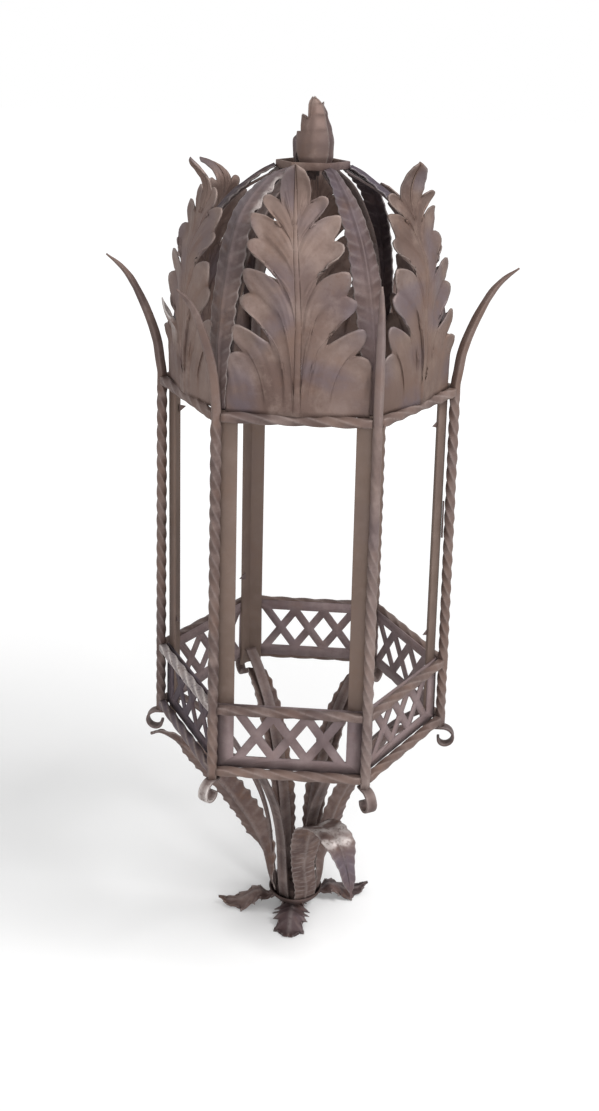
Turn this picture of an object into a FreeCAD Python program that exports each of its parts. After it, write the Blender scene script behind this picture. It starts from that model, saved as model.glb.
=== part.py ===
import FreeCAD, Part
from math import atan2, cos, degrees, pi, radians, sin, sqrt, tan
import os

# A six-sided lantern of forged iron. Twisted posts lean in towards a domed crown of acanthus leaves,
# a pierced gallery runs round the foot of the cage, and straps draw in below it to a leaf-footed hub.
# Millimetres, +Z up, the axis of the lantern on Z, the floor under its feet at 0, the front towards -Y.

V = FreeCAD.Vector
axis_up = V(0, 0, 1)
centre = V(0, 0, 0)

corners = {"right": 0, "back_right": 60, "back_left": 120, "left": 180, "front_left": 240, "front_right": 300}
faces = {"front": 270, "front_right": 330, "back_right": 30, "back": 90, "back_left": 150, "front_left": 210}
half_bay = 30
quarter = 90

# Cage
post_low_radius = 180.0
post_high_radius = 169.5
lower_bar_z = 300.0
upper_bar_z = 381.0
crown_bar_z = 727.0
bar_width = 9.6
plain_reach = 7.0
bar_plain_end = 7.0
post_foot_drop = 10.0
seat_gap = 0.1
overrun_length = 5.0
step_turn = 45
post_quarters_above = 18
post_quarters_gallery = 4
bar_quarters = 5

# Spikes that finish the posts
spike_reach = 60.5
spike_rise = 141.0
spike_tip_width = 2.0
upright_reach = -4.5
spike_path_shares = [(0, 0.06), (0.03, 0.16), (0.09, 0.34), (0.26, 0.56), (0.5, 0.78), (0.72, 0.905), (1, 1)]
spike_side_shares = [1, 1, 1, 0.9, 0.72, 0.5, 0]

# Glass angles, clips and the one tab between the right post and its angle
angle_leg_width = 18.0
angle_thick = 3.0
angle_foot_rise = -9.0
angle_top_rise = 5.5
clip_length = 13.0
clip_height = 9.0
clip_thick = 1.5
clip_lower_rise = 45.0
clip_upper_drop = 37.0
clip_overhang = 7.0
clips_on_second_leg = {"lower": ["back_left", "left", "front_right"], "upper": ["front_right"]}
tab_z = 570.0
tab_height = 46.0
tab_thick = 4.0

# Pierced gallery
panel_thick = 2.0
panel_foot_rise = 2.0
panel_height = 83.0
window_rise = 17.0
window_height = 55.0
window_half_width = 66.0
lattice_pitch = 39.0
lattice_bar_width = 10.5
lattice_places = [-1, 0, 1]

# Crown leaves
leaf_thick = 2.0
tooth_swell_share = 0.75
crown_leaf_height = 247.0
crown_leaf_side_gap = 9.25
crown_leaf_foot_out = 4.2
crown_leaf_fold = 0.135
crown_leaf_steps = 6
crown_leaf_spine_shares = [(1, 0), (1, 0.33), (0.96, 0.58), (0.875, 0.725), (0.805, 0.87), (0.86, 1)]
crown_leaf_bent_height = 216.0
crown_leaf_bent_shares = [(1, 0), (1, 0.36), (0.954, 0.59), (0.834, 0.79), (0.689, 0.917), (0.552, 1)]
crown_leaf_outline_shares = [
    (1, 0), (1, 0.18), (0.96, 0.235), (0.775, 0.255), (0.9, 0.31), (0.9, 0.36), (0.7, 0.355), (0.38, 0.3),
    (0.44, 0.35), (0.61, 0.4), (0.78, 0.45), (0.75, 0.485), (0.65, 0.498), (0.715, 0.543), (0.71, 0.585),
    (0.53, 0.588), (0.245, 0.536), (0.31, 0.585), (0.6, 0.653), (0.645, 0.685), (0.503, 0.709),
    (0.61, 0.77), (0.58, 0.803), (0.38, 0.795), (0.225, 0.761), (0.39, 0.825), (0.43, 0.86), (0.36, 0.88),
    (0.19, 0.846), (0.205, 0.9), (0.15, 0.965), (0, 1),
]

# Dome straps and the leaf ribs over them
strap_width = 13.0
strap_thick = 3.0
strap_steps = 11
dome_rise = 239.8
dome_foot_drop = 12.0
collar_seat_radius = 36.0
dome_strap_shares = [(1, 0), (0.99, 0.175), (0.947, 0.388), (0.862, 0.592), (0.724, 0.746), (0.513, 0.896)]
rib_half_width = 17.5
rib_fold = 0.3
rib_teeth = 10
rib_tooth_depth_share = 0.16
rib_width_shares = [(0, 0.24), (0.12, 0.5), (0.3, 0.92), (0.5, 1), (0.75, 0.8), (1, 0.42)]
rib_wide_bulge = 23.5
rib_wide_shares = [(0.293, 0.54), (0.49, 0.65), (0.683, 1), (0.855, 0.57)]
rib_spike_share = 0.07
rib_spike_rise_share = 0.29
rib_lift = 0.7
rib_foot_gap = 0.5
rib_end_gap = 1.4
rib_wide_end_gap = 0.7
rib_close_shares = [0.02, 0.2, 0.4, 0.6, 0.78, 0.92]
wide_ribs = ["front_left", "back_right", "back_left"]

# Collar, hanging eye and finial
collar_radius = 40.5
collar_wall = 3.3
collar_height = 8.1
plate_thick = 3.5
plate_clearance = 0.2
eye_radius = 11.5
eye_bore_radius = 5.5
eye_thick = 7.0
shoulder_radius = 8.0
shoulder_height = 6.5
shank_radius = 4.0
shank_clearance = 0.25
shank_drop = 12.0
washer_flats = 22.0
washer_thick = 2.0
nut_height = 6.0
nut_flats = 13.0
rod_sides = 16
eye_sides = 24
finial_height = 70.0
finial_radius = 22.5
finial_profile_shares = [(0, 0.9), (0.14, 1), (0.32, 1.01), (0.52, 0.92), (0.74, 0.7), (0.9, 0.46), (1, 0.34)]
finial_edge_shares = [
    (0, 0.82), (0.3, 1), (0.38, 0.8), (0.52, 0.86), (0.56, 0.62), (0.74, 0.7), (0.78, 0.46), (1, 0.1),
]
finial_stops = [0, 0.14, 0.3, 0.38, 0.52, 0.56, 0.74, 0.78, 0.9, 1]
finial_arc_steps = 4
finial_leaves = {"front": (270, 55), "right": (15, 48), "left": (165, 48)}

# Hub at the foot of the basket
hub_floor_z = 15.0
cup_thick = 2.5
cup_floor_radius = 31.0
cup_rim_radius = 36.0
cup_rim_z = 31.0
core_flats_radius = 24.1
core_height = 18.5
hub_head_flats = 14.0
cup_sides = 18
hub_head_height = 5.0
hub_bolt_tail_length = 1.5

# Basket straps and leaves
basket_rise = 274.0
basket_strap_end_z = 22.6
basket_strap_lift = 12.0
basket_strap_shares = [
    (0, 0), (0.035, 0.12), (0.08, 0.36), (0.17, 0.545), (0.325, 0.715), (0.51, 0.865), (0.76, 0.985),
]
basket_leaf_end_z = 27.6
basket_leaf_lift = 0.8
basket_leaf_half_width = 18.0
basket_leaf_fold = 0.3
basket_leaf_teeth = 10
basket_tooth_depth_share = 0.16
basket_pointed_width_shares = [(0, 0.45), (0.15, 0.7), (0.45, 1), (0.75, 1), (0.93, 0.6), (1, 0.15)]
basket_blunt_width_shares = [(0, 0.45), (0.15, 0.7), (0.45, 1), (0.75, 1), (0.93, 0.85), (1, 0.6)]
basket_close_shares = [
    (0.03, 0.12), (0.078, 0.34), (0.168, 0.52), (0.322, 0.69), (0.5, 0.835), (0.72, 0.935), (0.9, 0.965),
]
basket_wide_shares = [
    (0.05, 0.08), (0.15, 0.22), (0.3, 0.35), (0.45, 0.46), (0.62, 0.57), (0.84, 0.7), (1.04, 0.8),
    (1.17, 0.845), (1.25, 0.83),
]
basket_wide_turns = [(0, 0), (0.06, 0), (0.35, 55), (0.6, 48), (0.82, 8), (1, 0)]
loose_leaf_shares = [(0.035, 0.12), (0.09, 0.31), (0.22, 0.5), (0.49, 0.555), (0.7, 0.48), (0.96, 0.25)]
basket_leaves = ["right", "back_right", "back_left", "left"]

# Scrolls under the posts
scroll_width = 13.0
scroll_thick = 3.5
scroll_reach = 17.0
scroll_eye_reach = 8.0
scroll_offset = 5.0
scroll_start_turn = 90
scroll_end_turn = -175
scroll_steps = 10
scroll_lead_length = 13.0

# Leaf feet
foot_start_share = 0.08
foot_flat_share = 0.25
foot_reach = 105.0
curled_reach = 78.0
foot_half_width = 23.0
foot_fold = 0.25
foot_teeth = 5
foot_tooth_depth_share = 0.3
foot_rise_shares = [(0, 1), (0.36, 1), (0.47, 1.75), (0.75, 0), (0.86, 0), (1, 0.75)]
curled_rise_shares = [(0, 1), (0.42, 1), (0.6, 1.3), (0.92, 0), (1, 0)]
foot_width_shares = [(0, 0.27), (0.2, 0.3), (0.45, 0.85), (0.7, 1), (0.9, 0.6), (1, 0.12)]
foot_azimuths = {"left": 190, "right": 20, "front": 268, "back": 100}
curled_feet = ["front", "back"]


def post_circle(z):
    lean = (post_high_radius - post_low_radius) / (crown_bar_z - lower_bar_z)
    return post_low_radius + lean * (z - lower_bar_z)


def on_circle(radius, azimuth, z=0):
    return V(radius * cos(radians(azimuth)), radius * sin(radians(azimuth)), z)


def turned(shape, azimuth):
    placed = shape.copy()
    placed.rotate(centre, axis_up, azimuth)
    return placed


def save(name, *shapes):
    whole = shapes[0] if len(shapes) == 1 else Part.makeCompound(list(shapes))
    whole.exportStep(f"parts/{name}.step")


def outline_face(points):
    return Part.Face(Part.makePolygon(points + [points[0]]))


def skin(rings):
    """A closed solid through rings of equally many points, with flat triangles between them."""
    count = len(rings[0])
    sides = [outline_face(rings[0]), outline_face(rings[-1])]
    for low, high in zip(rings, rings[1:]):
        for k in range(count):
            after = (k + 1) % count
            sides.append(outline_face([low[k], low[after], high[k]]))
            sides.append(outline_face([low[after], high[after], high[k]]))
    solid = Part.Solid(Part.Shell(sides))
    if solid.Volume < 0:
        solid.reverse()
    return solid


def square_ring(place, first, second, side, turn):
    """Corners of a square bar about a point, in the plane of two unit vectors."""
    reach = side / sqrt(2)
    corners_at = [radians(turn + quarter * k) for k in range(4)]
    return [place + first * (reach * cos(a)) + second * (reach * sin(a)) for a in corners_at]


def twist_stops(start, end, quarters, turn):
    """Places and turns along a stretch of bar that was twisted by so many quarter turns."""
    steps = round(quarters * quarter / step_turn)
    pitch = (end - start) / steps
    return [(start + pitch * i, turn - quarters * quarter * i / steps) for i in range(steps + 1)]


def spline_edge(points):
    curve = Part.BSplineCurve()
    curve.interpolate(points)
    return curve.toShape()


def station(edge, share):
    """A point at a share of the length of an edge in the XZ plane, and its normal to the right."""
    at = edge.getParameterByLength(edge.Length * share)
    along = edge.tangentAt(at)
    return edge.valueAt(at), V(along.z, 0, -along.x)


def from_table(table, share):
    for (s0, v0), (s1, v1) in zip(table, table[1:]):
        if share <= s1:
            return v0 + (v1 - v0) * (share - s0) / (s1 - s0)
    return table[-1][1]


def toothed(widths, half_width, teeth, depth):
    """Stations along a leaf: its half width swells to each tooth and drops back behind it."""
    stops = []
    for k in range(teeth):
        for along, cut in ((0, depth), (tooth_swell_share, 0)):
            share = (k + along) / teeth
            stops.append((share, half_width * from_table(widths, share) * (1 - cut)))
    return stops + [(1, half_width * widths[-1][1])]


def creased(stations, thick):
    """A sheet through stations of place, normal, half width, depth of crease and turn about its line."""
    rings = []
    for place, normal, half, crease, turn in stations:
        along, across = cos(radians(turn)), sin(radians(turn))
        out = normal * along + V(0, across, 0)
        side = V(0, half * along, 0) - normal * (half * across)
        back = out * crease
        deep = out * thick
        rings.append([place - back - side, place, place - back + side,
                      place - back + side - deep, place - deep, place - back - side - deep])
    return skin(rings)


def leaf(points, stops, fold, turns=((0, 0), (1, 0))):
    """A creased sheet leaf along a spline in the XZ plane, its midrib to the right of that line."""
    edge = spline_edge(points)
    stations = []
    for share, half in stops:
        stations.append((*station(edge, share), half, fold * half, from_table(turns, share)))
    return creased(stations, leaf_thick)


def ribbon(stations, thick, width):
    """A flat bar through stations of place and outward normal, that line being its outer surface."""
    side = V(0, width / 2, 0)
    rings = []
    for place, out in stations:
        deep = out * thick
        rings.append([place - side, place + side, place + side - deep, place - side - deep])
    return skin(rings)


def strap(points):
    edge = spline_edge(points)
    return ribbon([station(edge, i / strap_steps) for i in range(strap_steps + 1)], strap_thick, strap_width)


def prism(sides, radius, height, z):
    """An upright prism on the axis, from a polygon through points on a circle."""
    outline = [on_circle(radius, 360 * k / sides, z) for k in range(sides)]
    return outline_face(outline).extrude(axis_up * height)


def rod_hole(radius, z):
    return prism(rod_sides, radius + shank_clearance, 2 * overrun_length + core_height, z - overrun_length)


def hexagon(radius, z):
    return outline_face([on_circle(radius, a, z) for a in corners.values()])


twist_reach = bar_width / sqrt(2)


def corner_post(reach):
    """Square bar, edge outwards: plain at the level bars, twisted between, drawn out to a spike."""
    edge_out = 0
    stops = [(lower_bar_z - post_foot_drop, edge_out)]
    bays = [(lower_bar_z, upper_bar_z, post_quarters_gallery),
            (upper_bar_z, crown_bar_z, post_quarters_above)]
    for low, high, quarters in bays:
        stops += twist_stops(low + plain_reach, high - plain_reach, quarters, edge_out)
    ahead, across = V(1, 0, 0), V(0, 1, 0)
    rings = [square_ring(V(post_circle(z), 0, z), ahead, across, bar_width, turn) for z, turn in stops]
    path = [V(post_high_radius + reach * r, 0, crown_bar_z + spike_rise * z) for r, z in spike_path_shares]
    last = len(path) - 1
    for i, place in enumerate(path):
        along = path[min(i + 1, last)] - path[max(i - 1, 0)]
        along.normalize()
        side = spike_tip_width + (bar_width - spike_tip_width) * spike_side_shares[i]
        rings.append(square_ring(place, V(along.z, 0, -along.x), across, side, edge_out))
    return skin(rings)


def bay_bar(z):
    """One twisted bar between two posts, its ends bevelled to their faces."""
    radius = post_circle(z)
    half = radius / 2
    apothem = radius * cos(radians(half_bay))
    bevel = radians(2 * half_bay - quarter / 2)

    def seat(x):
        return (bar_width / 2 + seat_gap - (apothem - x) * sin(bevel)) / cos(bevel) - half

    first = square_ring(V(apothem, 0, z), V(1, 0, 0), axis_up, bar_width, quarter / 2)
    twist_end = half - twist_reach - bar_plain_end
    rings = [[V(p.x, seat(p.x), p.z) for p in first]]
    for y, turn in twist_stops(-twist_end, twist_end, bar_quarters, quarter / 2):
        rings.append(square_ring(V(apothem, y, z), V(1, 0, 0), axis_up, bar_width, turn))
    last = square_ring(V(apothem, 0, z), V(1, 0, 0), axis_up, bar_width, quarter / 2 - bar_quarters * quarter)
    rings.append([V(p.x, -seat(p.x), p.z) for p in last])
    return skin(rings)


def bar_inside(z):
    """Distance from the axis to the inner side of the twisted bars at a level."""
    return post_circle(z) * cos(radians(half_bay)) - twist_reach - seat_gap


def angle_face(z):
    """Distance from the axis to the outer faces of the glass angles, which touch panel and crown bar."""
    low = bar_inside(upper_bar_z) - panel_thick - seat_gap
    high = bar_inside(crown_bar_z)
    return low + (high - low) * (z - upper_bar_z) / (crown_bar_z - upper_bar_z)


def angle_ring(z):
    """Outline of a glass angle at a level, its apex on the +X side."""
    outer = angle_face(z) / cos(radians(half_bay))
    inner = (angle_face(z) - angle_thick) / cos(radians(half_bay))
    spread = radians(180 - 2 * half_bay)
    legs = [V(cos(spread), sin(spread), 0), V(cos(spread), -sin(spread), 0)]
    tips_out = [V(outer, 0, z) + leg * angle_leg_width for leg in legs]
    inward = [V(-sin(spread), cos(spread), 0), V(-sin(spread), -cos(spread), 0)]
    tips_in = [tip + way * angle_thick for tip, way in zip(tips_out, inward)]
    return [tips_out[0], V(outer, 0, z), tips_out[1], tips_in[1], V(inner, 0, z), tips_in[0]]


def glass_angle():
    return skin([angle_ring(lower_bar_z + angle_foot_rise), angle_ring(crown_bar_z + angle_top_rise)])


def glass_clip(z, side):
    """A small pointed tongue on the inner face of one leg of an angle, reaching into the bay."""
    spread = radians(180 - 2 * half_bay)
    along = V(cos(spread), side * sin(spread), 0)
    inward = V(-sin(spread), side * cos(spread), 0)
    apex = V((angle_face(z) - angle_thick) / cos(radians(half_bay)), 0, z)
    root = apex + along * (angle_leg_width + clip_overhang - clip_length) + inward * seat_gap
    half = axis_up * (clip_height / 2)
    return outline_face([root - half, root + half, root + along * clip_length]).extrude(inward * clip_thick)


def post_tab():
    """The tab that ties the right post to its glass angle half way up."""
    low, high = tab_z - tab_height / 2, tab_z + tab_height / 2
    rings = []
    for z in (low, high):
        inner = angle_face(z) / cos(radians(half_bay)) + seat_gap
        outer = post_circle(z) - twist_reach - seat_gap
        half = tab_thick / 2
        rings.append([V(inner, -half, z), V(outer, -half, z), V(outer, half, z), V(inner, half, z)])
    return skin(rings)


def gallery_panel():
    """Flat sheet, pierced to a row of crosses, its ends mitred to the next sheets."""
    low = lower_bar_z + panel_foot_rise
    high = low + panel_height
    rings = []
    for z in (low, high):
        outer = bar_inside(z)
        inner = outer - panel_thick
        mitre = tan(radians(half_bay))
        ends = [(outer, outer * mitre - seat_gap), (inner, inner * mitre - seat_gap)]
        rings.append([V(ends[0][0], -ends[0][1], z), V(ends[0][0], ends[0][1], z),
                      V(ends[1][0], ends[1][1], z), V(ends[1][0], -ends[1][1], z)])
    return skin(rings).cut(lattice_openings())


def lattice_openings():
    """The open part of a panel: one window less the arms of its crosses."""
    back = bar_inside(upper_bar_z) - panel_thick - overrun_length
    depth = panel_thick + 3 * overrun_length
    foot = lower_bar_z + window_rise
    middle = foot + window_height / 2
    window = Part.makeBox(depth, 2 * window_half_width, window_height, V(back, -window_half_width, foot))
    lean = atan2(lattice_pitch, window_height)
    length = window_height / cos(lean) + 2 * lattice_bar_width
    arms = []
    for place in lattice_places:
        for way in (-1, 1):
            arm = Part.makeBox(depth, lattice_bar_width, length, V(back, -lattice_bar_width / 2, -length / 2))
            arm.rotate(centre, V(1, 0, 0), way * degrees(lean))
            arm.translate(V(0, place * lattice_pitch, middle))
            arms.append(arm)
    return window.cut(arms)


def crown_leaf(spine_shares, height):
    """An acanthus leaf: a creased sheet bent to the spine, cut to a lobed outline."""
    foot = crown_bar_z + twist_reach + seat_gap
    reach = post_high_radius * cos(radians(half_bay)) + crown_leaf_foot_out
    half = post_high_radius / 2 - crown_leaf_side_gap
    spine = [V(reach * r, 0, foot + height * z) for r, z in spine_shares]
    edge = spline_edge(spine)
    stops = [(i / crown_leaf_steps, half + overrun_length) for i in range(crown_leaf_steps + 1)]
    sheet = leaf(spine, stops, crown_leaf_fold)
    right = [(half * u, foot + height * z) for u, z in crown_leaf_outline_shares]
    left = [(-u, z) for u, z in reversed(right[:-1])]
    outline = outline_face([V(0, u, z) for u, z in right + left])
    return sheet.common(outline.extrude(V(reach + edge.Length, 0, 0)))


def dome_strap_points():
    foot_radius = (angle_face(crown_bar_z) - angle_thick) / cos(radians(half_bay)) - seat_gap
    outer = foot_radius - strap_width / 2 / tan(radians(2 * half_bay))
    points = [V(outer, 0, crown_bar_z - dome_foot_drop)]
    points += [V(outer * r, 0, crown_bar_z + dome_rise * z) for r, z in dome_strap_shares]
    return points + [V(collar_seat_radius, 0, crown_bar_z + dome_rise - seat_gap)]


def dome_rib(wide):
    """A serrated leaf over a dome strap, hugging it or sprung away from it."""
    over_strap = leaf_thick + rib_fold * strap_width / 2 + rib_lift
    end_gap = rib_wide_end_gap if wide else rib_end_gap
    end = V(collar_radius + end_gap, 0, collar_foot_z + collar_height / 2)
    points, over_shares = [], [(share, 0) for share in rib_close_shares]
    if wide:
        foot_x, foot_z = post_high_radius - twist_reach - rib_foot_gap, crown_bar_z + twist_reach
        beside_spike = V(foot_x + spike_reach * rib_spike_share, 0,
                         crown_bar_z + spike_rise * rib_spike_rise_share)
        points, over_shares = [V(foot_x, 0, foot_z + 2 * seat_gap), beside_spike], rib_wide_shares
    under = spline_edge(dome_strap_points()[1:])
    for share, bulge in over_shares:
        place, out = station(under, share)
        points.append(place + out * (over_strap + rib_wide_bulge * bulge))
    stops = toothed(rib_width_shares, rib_half_width, rib_teeth, rib_tooth_depth_share)
    return leaf(points + [end], stops, rib_fold)


collar_foot_z = crown_bar_z + dome_rise
plate_top_z = collar_foot_z + plate_thick


def collar_band():
    ring = hexagon(collar_radius, collar_foot_z).extrude(axis_up * collar_height)
    hollow = hexagon(collar_radius - collar_wall, collar_foot_z - overrun_length)
    return ring.cut(hollow.extrude(axis_up * (collar_height + 2 * overrun_length)))


def collar_plate():
    plate = hexagon(collar_radius - collar_wall - plate_clearance, collar_foot_z)
    return plate.extrude(axis_up * plate_thick).cut(rod_hole(shank_radius, collar_foot_z))


eye_z = plate_top_z + shoulder_height + eye_radius - seat_gap


def hanging_eye():
    """A flat forged eye on a shouldered, threaded shank, its bore along Y."""
    eye = prism(eye_sides, eye_radius, eye_thick, -eye_thick / 2)
    eye.rotate(centre, V(1, 0, 0), quarter)
    eye.translate(V(0, 0, eye_z))
    shoulder = prism(rod_sides, shoulder_radius, shoulder_height, plate_top_z)
    shank = prism(rod_sides, shank_radius, shank_drop + plate_thick, collar_foot_z - shank_drop)
    bore_start = V(0, -eye_thick / 2 - overrun_length, eye_z)
    bore = Part.makeCylinder(eye_bore_radius, eye_thick + 2 * overrun_length, bore_start, V(0, 1, 0))
    return eye.fuse([shoulder, shank]).cut(bore)


def nut(flats, height, z):
    """A hexagon nut on a shank."""
    return prism(6, flats / 2 / cos(radians(half_bay)), height, z).cut(
        prism(rod_sides, shank_radius + seat_gap / 2, height + 2 * overrun_length, z - overrun_length))


def washer(flats, height, z):
    return prism(4, flats / sqrt(2), height, z).cut(rod_hole(shank_radius, z))


def finial_leaf(spread):
    """One cupped leaf of the bud: rings of an arc that follow its profile and its stepped edge."""
    rings = []
    for share in finial_stops:
        outer = finial_radius * from_table(finial_profile_shares, share)
        half = spread * from_table(finial_edge_shares, share)
        turns = [half * (2 * i / finial_arc_steps - 1) for i in range(finial_arc_steps + 1)]
        z = plate_top_z + seat_gap + finial_height * share
        ring = [on_circle(outer, turn, z) for turn in turns]
        rings.append(ring + [on_circle(outer - leaf_thick, turn, z) for turn in reversed(turns)])
    return skin(rings)


def basket_radius(z):
    """Outer face of a basket strap where it enters the glass angle."""
    inner = (angle_face(z) - angle_thick) / cos(radians(half_bay)) - seat_gap
    return inner - strap_width / 2 / tan(radians(2 * half_bay))


def basket_point(r_share, z_share, foot_radius):
    reach = basket_radius(lower_bar_z) - foot_radius
    return V(foot_radius + reach * r_share, 0, basket_strap_end_z + basket_rise * z_share)


strap_foot_radius = core_flats_radius + strap_thick + seat_gap


def basket_strap():
    points = [basket_point(r, z, strap_foot_radius) for r, z in basket_strap_shares]
    top = lower_bar_z + basket_strap_lift
    points.append(V(basket_radius(top) - seat_gap, 0, top))
    return strap(points)


def basket_leaf(shares, widths, turns=((0, 0), (1, 0))):
    over_strap = leaf_thick + basket_leaf_fold * strap_width / 2 + basket_leaf_lift
    foot_radius = strap_foot_radius + over_strap
    points = [V(foot_radius, 0, basket_leaf_end_z)]
    points += [basket_point(r, z, foot_radius) for r, z in shares]
    stops = toothed(widths, basket_leaf_half_width, basket_leaf_teeth, basket_tooth_depth_share)
    return leaf(points, stops, basket_leaf_fold, turns)


def scroll():
    """A flat bar that passes under the post and curls outwards, down and back."""
    top = lower_bar_z - post_foot_drop - seat_gap
    middle = V(post_circle(top) + scroll_offset, 0, top - scroll_reach)
    stations = [(middle + V(-scroll_lead_length, 0, scroll_reach), axis_up)]
    for i in range(scroll_steps + 1):
        share = i / scroll_steps
        turn = radians(scroll_start_turn + (scroll_end_turn - scroll_start_turn) * share)
        out = V(cos(turn), 0, sin(turn))
        stations.append((middle + out * (scroll_reach + (scroll_eye_reach - scroll_reach) * share), out))
    return ribbon(stations, scroll_thick, scroll_width)


def cup_body(profile):
    return skin([[on_circle(r, 360 * k / cup_sides, z) for k in range(cup_sides)] for r, z in profile])


def hub_cup():
    """A shallow dish under the core, its rim round the feet of the straps and leaves."""
    floor_z = hub_floor_z + cup_thick
    shoulder_z = cup_rim_z - cup_thick
    rim_inside = cup_rim_radius - cup_thick
    outside = cup_body([(cup_floor_radius, hub_floor_z), (cup_rim_radius, shoulder_z),
                        (cup_rim_radius, cup_rim_z)])
    inside = cup_body([(cup_floor_radius - cup_thick / 2, floor_z), (rim_inside, shoulder_z),
                       (rim_inside, cup_rim_z + overrun_length)])
    return outside.cut(inside).cut(rod_hole(shank_radius, hub_floor_z))


def hub_core():
    z = hub_floor_z + cup_thick
    outline = turned(hexagon(core_flats_radius / cos(radians(half_bay)), z), half_bay)
    return outline.extrude(axis_up * core_height).cut(rod_hole(shank_radius, z))


hub_washer_z = hub_floor_z - leaf_thick - washer_thick - 2 * seat_gap
hub_nut_z = hub_washer_z - nut_height


def hub_bolt():
    head_z = hub_floor_z + cup_thick + core_height
    head = prism(6, hub_head_flats / 2 / cos(radians(half_bay)), hub_head_height, head_z)
    foot_z = hub_nut_z - hub_bolt_tail_length
    return head.fuse(prism(rod_sides, shank_radius, head_z - foot_z, foot_z))


def eased(table, share):
    """Value and slope of a curve that runs level through every entry of a table."""
    for (s0, v0), (s1, v1) in zip(table, table[1:]):
        if share <= s1:
            turn = pi * (share - s0) / (s1 - s0)
            return v0 + (v1 - v0) * (1 - cos(turn)) / 2, (v1 - v0) * sin(turn) * pi / 2 / (s1 - s0)
    return table[-1][1], 0


def foot_leaf(reach, rise_shares):
    """A leaf clamped flat under the hub that humps up and comes down to rest on the floor."""
    stops = toothed(foot_width_shares, foot_half_width, foot_teeth, foot_tooth_depth_share)
    stops = [(max(share, foot_start_share), half) for share, half in stops]
    resting = [half for share, half in stops if eased(rise_shares, share)[0] == 0]
    rest = leaf_thick + foot_fold * max(resting)
    top = hub_floor_z - seat_gap
    stations = []
    for share, half in stops:
        rise, slope = eased(rise_shares, share)
        across = V(-slope * (top - rest), 0, reach)
        across.normalize()
        crease = 0 if share < foot_flat_share else foot_fold * half
        stations.append((V(reach * share, 0, rest + (top - rest) * rise), across, half, crease, 0))
    return creased(stations, leaf_thick)


def build():
    os.makedirs("parts", exist_ok=True)
    for name, azimuth in corners.items():
        reach = upright_reach if name == "front_right" else spike_reach
        save(f"corner_post_{name}", turned(corner_post(reach), azimuth))
        save(f"glass_angle_{name}", turned(glass_angle(), azimuth))
        save(f"dome_rib_{name}", turned(dome_rib(name in wide_ribs), azimuth))
    for name, azimuth in faces.items():
        save(f"gallery_panel_{name}", turned(gallery_panel(), azimuth))
        bent_in = name == "back_right"
        shares = crown_leaf_bent_shares if bent_in else crown_leaf_spine_shares
        height = crown_leaf_bent_height if bent_in else crown_leaf_height
        save(f"crown_leaf_{name}", turned(crown_leaf(shares, height), azimuth))
    levels = {"crown_bars": crown_bar_z, "gallery_upper_bars": upper_bar_z, "gallery_lower_bars": lower_bar_z}
    for name, z in levels.items():
        save(name, *[turned(bay_bar(z), azimuth) for azimuth in faces.values()])
    save("dome_straps", *[turned(strap(dome_strap_points()), azimuth) for azimuth in corners.values()])
    save("basket_straps", *[turned(basket_strap(), azimuth) for azimuth in corners.values()])
    save("corner_scrolls", *[turned(scroll(), azimuth) for azimuth in corners.values()])
    clips = []
    for name, azimuth in corners.items():
        for level, z in (("lower", upper_bar_z + clip_lower_rise), ("upper", crown_bar_z - clip_upper_drop)):
            side = 1 if name in clips_on_second_leg[level] else -1
            clips.append(turned(glass_clip(z, side), azimuth))
    save("glass_clips", *clips)
    save("post_tab", post_tab())
    for name in basket_leaves:
        made = basket_leaf(basket_close_shares, basket_blunt_width_shares)
        if name == "left":
            made = basket_leaf(basket_wide_shares, basket_pointed_width_shares, basket_wide_turns)
        save(f"basket_leaf_{name}", turned(made, corners[name]))
    sprung = basket_leaf(loose_leaf_shares, basket_pointed_width_shares)
    save("basket_leaf_sprung", turned(sprung, corners["front_right"]))
    save("collar_band", collar_band())
    save("collar_plate", collar_plate())
    save("hanging_eye", hanging_eye())
    washer_z = collar_foot_z - washer_thick
    save("hanging_washer", washer(washer_flats, washer_thick, washer_z))
    save("hanging_nut", nut(nut_flats, nut_height, washer_z - nut_height))
    for name, (azimuth, spread) in finial_leaves.items():
        save(f"finial_leaf_{name}", turned(finial_leaf(spread), azimuth))
    save("hub_cup", hub_cup())
    save("hub_core", hub_core())
    save("hub_bolt", hub_bolt())
    save("hub_washer", washer(washer_flats, washer_thick, hub_washer_z))
    save("hub_nut", nut(nut_flats, nut_height, hub_nut_z))
    for name, azimuth in foot_azimuths.items():
        if name in curled_feet:
            save(f"foot_leaf_{name}", turned(foot_leaf(curled_reach, curled_rise_shares), azimuth))
        else:
            save(f"foot_leaf_{name}", turned(foot_leaf(foot_reach, foot_rise_shares), azimuth))


build()
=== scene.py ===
import math
import random
import bmesh
import bpy
from mathutils import Matrix, Vector, noise


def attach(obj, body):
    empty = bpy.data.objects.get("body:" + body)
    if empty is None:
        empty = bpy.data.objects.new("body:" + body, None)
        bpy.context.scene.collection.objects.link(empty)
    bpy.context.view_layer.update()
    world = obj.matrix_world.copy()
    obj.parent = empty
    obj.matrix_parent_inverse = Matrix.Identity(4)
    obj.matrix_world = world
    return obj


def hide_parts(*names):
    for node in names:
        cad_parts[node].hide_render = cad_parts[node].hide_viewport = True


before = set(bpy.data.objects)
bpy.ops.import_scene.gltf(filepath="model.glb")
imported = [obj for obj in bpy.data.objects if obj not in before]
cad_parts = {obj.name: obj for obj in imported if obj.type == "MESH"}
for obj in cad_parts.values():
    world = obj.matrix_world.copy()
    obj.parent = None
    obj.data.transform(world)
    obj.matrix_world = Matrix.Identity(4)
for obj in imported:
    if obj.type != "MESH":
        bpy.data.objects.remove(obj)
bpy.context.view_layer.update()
print("frame loaded", len(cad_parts), "nodes")

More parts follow.
